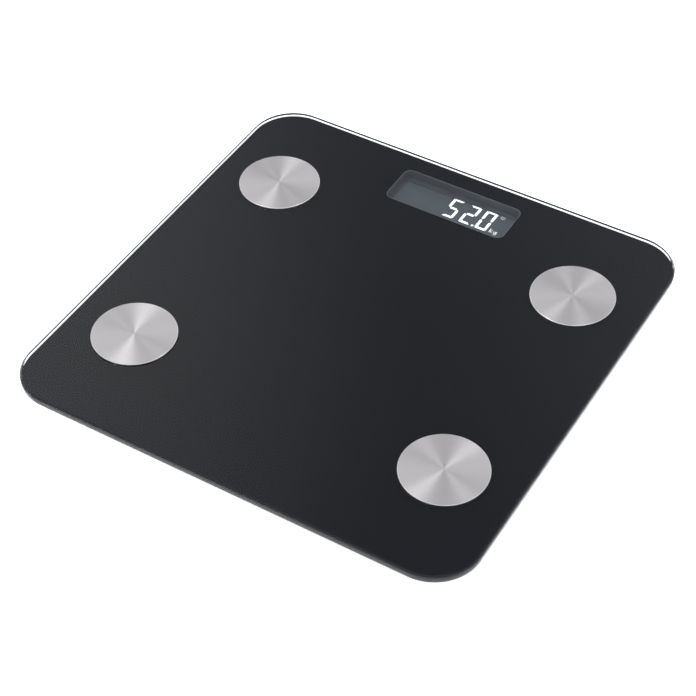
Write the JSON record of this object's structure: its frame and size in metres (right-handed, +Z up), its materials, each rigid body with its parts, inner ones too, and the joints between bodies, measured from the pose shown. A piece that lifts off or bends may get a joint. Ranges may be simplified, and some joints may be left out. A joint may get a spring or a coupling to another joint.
{
  "type": "digital bathroom scale",
  "caption": "Square black glass bathroom scale with round steel foot electrodes, a digital display window, load-cell feet, a battery door and a unit button.",
  "frame": {"origin": "on the floor under the middle of the square platform", "axes": "+Z up; +Y towards the display edge; +X to the user's right"},
  "size_m": [0.26, 0.26, 0.0271],
  "materials": {
    "clear_glass": "tempered, polished faces and ground edge",
    "black_film": "opaque print seen through the glass",
    "foam_tape": "white double-sided foam",
    "electrode_steel": "turned, with a circular grain",
    "seal_rubber": "thin black gasket",
    "zinc_plate": "bright zinc",
    "terminal_brass": "tinned brass",
    "white_wire": "soft insulation",
    "tray_plastic": "fine moulded texture",
    "bezel_plastic": "matt black",
    "lcd_glass": "grey liquid crystal behind a polariser",
    "backlight_acrylic": "milky light guide",
    "zebra_rubber": "layered elastomer",
    "board_laminate": "green solder mask",
    "chip_resin": "black resin",
    "module_laminate": "blue solder mask with a metal can",
    "small_parts": "ceramic and metal can parts",
    "switch_metal": "stamped shell",
    "socket_nylon": "ivory nylon",
    "button_plastic": "grey-black, smooth",
    "cell_steel": "nickel-plated spring steel",
    "gauge_silicone": "white silicone",
    "red_wire": "soft insulation",
    "cover_plastic": "fine moulded texture",
    "foot_plastic": "smooth moulding",
    "pad_rubber": "anti-slip rubber",
    "door_plastic": "fine moulded texture",
    "battery_jacket": "plain printed sleeve",
    "contact_nickel": "nickel plate",
    "label_foil": "blank silver-grey film"
  },
  "bodies": {
    "platform": {"glass_platform": "clear_glass", "print_film": "black_film", "glass_tape": "foam_tape", "electrode_fl": "electrode_steel", "electrode_fr": "electrode_steel", "electrode_bl": "electrode_steel", "electrode_br": "electrode_steel", "electrode_seals": "seal_rubber", "electrode_washers": "zinc_plate", "electrode_nuts": "zinc_plate", "board_screws": "zinc_plate", "cover_screws": "zinc_plate", "ring_terminals": "terminal_brass", "electrode_lead_fl": "white_wire", "electrode_lead_fr": "white_wire", "electrode_lead_bl": "white_wire", "electrode_lead_br": "white_wire", "tray": "tray_plastic", "lcd_bezel": "bezel_plastic", "lcd_panel": "lcd_glass", "lcd_backlight": "backlight_acrylic", "zebra_strip": "zebra_rubber", "main_board": "board_laminate", "mcu_chip": "chip_resin", "wireless_module": "module_laminate", "board_parts": "small_parts", "tact_switch": "switch_metal", "lead_sockets": "socket_nylon", "load_cell_fl": "cell_steel", "load_cell_fr": "cell_steel", "load_cell_bl": "cell_steel", "load_cell_br": "cell_steel", "gauge_caps": "gauge_silicone", "load_cell_lead_fl": "red_wire", "load_cell_lead_fr": "red_wire", "load_cell_lead_bl": "red_wire", "load_cell_lead_br": "red_wire", "battery_leads": "red_wire", "cell_cover_fl": "cover_plastic", "cell_cover_fr": "cover_plastic", "cell_cover_bl": "cover_plastic", "cell_cover_br": "cover_plastic", "foot_fl": "foot_plastic", "foot_fr": "foot_plastic", "foot_bl": "foot_plastic", "foot_br": "foot_plastic", "foot_pad_fl": "pad_rubber", "foot_pad_fr": "pad_rubber", "foot_pad_bl": "pad_rubber", "foot_pad_br": "pad_rubber", "battery_1": "battery_jacket", "battery_2": "battery_jacket", "battery_3": "battery_jacket", "battery_springs": "contact_nickel", "battery_plates": "contact_nickel", "rating_label": "label_foil"},
    "battery_door": {"battery_door": "door_plastic"},
    "unit_button": {"unit_button": "button_plastic"}
  },
  "joints": [
    {"name": "battery_door_hinge", "type": "hinge", "parent": "platform", "child": "battery_door", "pos_m": [-0.0259, 0.02, 0.0065], "axis": [0, 1, 0], "range_deg": [0, 50]},
    {"name": "unit_button_press", "type": "slide", "parent": "platform", "child": "unit_button", "axis": [0, 0, 1], "range_m": [0, 0.0004], "stiffness_N_per_m": 2000}
  ]
}
